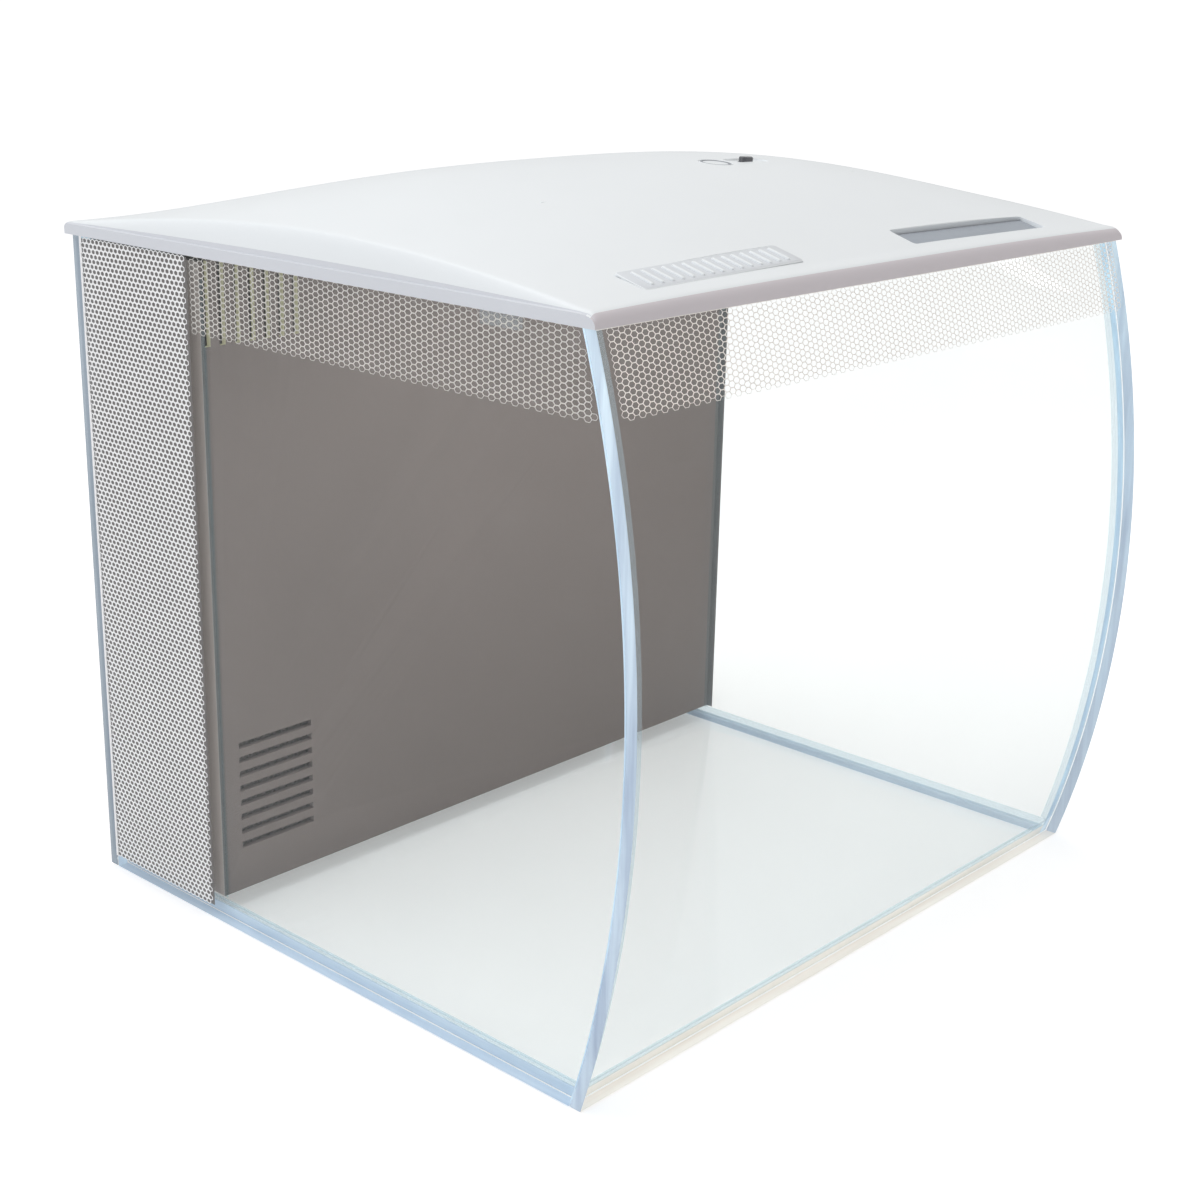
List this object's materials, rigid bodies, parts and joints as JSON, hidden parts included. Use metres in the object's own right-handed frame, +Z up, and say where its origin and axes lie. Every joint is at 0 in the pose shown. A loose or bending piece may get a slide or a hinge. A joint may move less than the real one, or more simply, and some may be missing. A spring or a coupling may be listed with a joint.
{
  "type": "glass aquarium tank",
  "caption": "Desktop glass aquarium with a bowed front pane, honeycomb-printed bands, a rear filter compartment with pump and media, and a domed white lift-off lid with lamp and feeding hatch.",
  "frame": {"origin": "centre of the tank underside, on the flat face of the base pane", "axes": "+Z up, -Y towards the bowed front pane, +X to the right as seen from the front"},
  "size_m": [0.415, 0.3914, 0.3864],
  "materials": {
    "glass": "polished float glass with a faint cool tint",
    "silicone": "clear cured silicone, smooth",
    "honeycomb_print": "thin printed honeycomb net, light warm grey",
    "back_film": "matt warm grey film",
    "grey_plastic": "moulded warm grey plastic, fine grain",
    "light_grey_plastic": "moulded light grey plastic",
    "filter_foam": "open-cell foam",
    "bio_media": "porous unglazed ceramic rings",
    "carbon_pouch": "mesh pouch filled with granules",
    "pump_plastic": "moulded black plastic",
    "ceramic_shaft": "ground ceramic",
    "rubber_mat": "soft rubber",
    "hose": "flexible hose, satin",
    "cable_black": "cable jacket, satin",
    "lid_white": "white moulded plastic, soft gloss",
    "hatch_plastic": "blue-grey plastic, satin",
    "pin_steel": "drawn stainless wire",
    "receiver_dark": "dark glossy plastic",
    "circuit_board": "coated circuit board",
    "diffuser": "frosted diffuser",
    "pad_rubber": "clear-white soft rubber"
  },
  "bodies": {
    "tank": {"base_pane": "glass", "left_pane": "glass", "right_pane": "glass", "rear_pane": "glass", "front_pane": "glass", "seam_front_left": "silicone", "seam_front_right": "silicone", "seam_rear_left": "silicone", "seam_rear_right": "silicone", "seam_base": "silicone", "seam_partition_left": "silicone", "seam_partition_right": "silicone", "band_front": "honeycomb_print", "band_left": "honeycomb_print", "wrap_left": "honeycomb_print", "wrap_right": "honeycomb_print", "back_film": "back_film", "partition": "grey_plastic", "divider_intake": "grey_plastic", "divider_pump": "grey_plastic", "outlet_manifold": "grey_plastic", "outlet_ring_left": "grey_plastic", "outlet_ring_right": "grey_plastic", "pump_body": "pump_plastic", "pump_cover": "pump_plastic", "impeller_shaft": "ceramic_shaft", "pump_mat": "rubber_mat", "outlet_hose": "hose", "pump_cable": "cable_black", "pump_plug": "cable_black"},
    "lid": {"lid_shell": "lid_white", "lid_panel": "lid_white", "receiver_window": "receiver_dark", "control_board": "circuit_board", "hatch_pin": "pin_steel", "lamp_housing": "lid_white", "led_board": "circuit_board", "lamp_diffuser": "diffuser", "lamp_cable": "cable_black", "lamp_plug": "cable_black", "lid_pad_front_left": "pad_rubber", "lid_pad_front_right": "pad_rubber", "lid_pad_rear_left": "pad_rubber", "lid_pad_rear_right": "pad_rubber"},
    "hatch": {"feeding_hatch": "hatch_plastic"},
    "button": {"touch_button": "lid_white"},
    "foam_unit": {"foam_block": "filter_foam", "foam_cradle": "light_grey_plastic"},
    "basket_unit": {"media_basket": "light_grey_plastic", "bio_media": "bio_media", "carbon_pouch": "carbon_pouch"},
    "rotor": {"impeller": "pump_plastic"},
    "ball_left": {"outlet_ball_left": "grey_plastic"},
    "ball_right": {"outlet_ball_right": "grey_plastic"},
    "spout_left": {"outlet_spout_left": "grey_plastic"},
    "spout_right": {"outlet_spout_right": "grey_plastic"}
  },
  "joints": [
    {"name": "lid_lift", "type": "slide", "parent": "tank", "child": "lid", "axis": [0, 0, 1], "range_m": [0, 0.12]},
    {"name": "hatch_hinge", "type": "hinge", "parent": "lid", "child": "hatch", "pos_m": [0.09146, -0.15081, 0.3567], "axis": [-0.9999, 0, 0.0146], "range_deg": [0, 78]},
    {"name": "button_press", "type": "slide", "parent": "lid", "child": "button", "axis": [-0.0131, 0.0773, -0.9969], "range_m": [0, 0.0008], "stiffness_N_per_m": 400},
    {"name": "impeller_spin", "type": "hinge", "parent": "tank", "child": "rotor", "pos_m": [0.07, 0.128, 0.042], "axis": [1, 0, 0], "continuous": true},
    {"name": "foam_lift", "type": "slide", "parent": "tank", "child": "foam_unit", "axis": [0, 0, 1], "range_m": [0, 0.045]},
    {"name": "basket_lift", "type": "slide", "parent": "tank", "child": "basket_unit", "axis": [0, 0, 1], "range_m": [0, 0.055]},
    {"name": "outlet_left_pan", "type": "hinge", "parent": "tank", "child": "ball_left", "pos_m": [0.025, 0.0783, 0.318], "axis": [0, 0, 1], "range_deg": [-20, 20]},
    {"name": "outlet_left_tilt", "type": "hinge", "parent": "ball_left", "child": "spout_left", "pos_m": [0.025, 0.0783, 0.318], "axis": [1, 0, 0], "range_deg": [-15, 15]},
    {"name": "outlet_right_pan", "type": "hinge", "parent": "tank", "child": "ball_right", "pos_m": [0.075, 0.0783, 0.318], "axis": [0, 0, 1], "range_deg": [-20, 20]},
    {"name": "outlet_right_tilt", "type": "hinge", "parent": "ball_right", "child": "spout_right", "pos_m": [0.075, 0.0783, 0.318], "axis": [1, 0, 0], "range_deg": [-15, 15]}
  ]
}
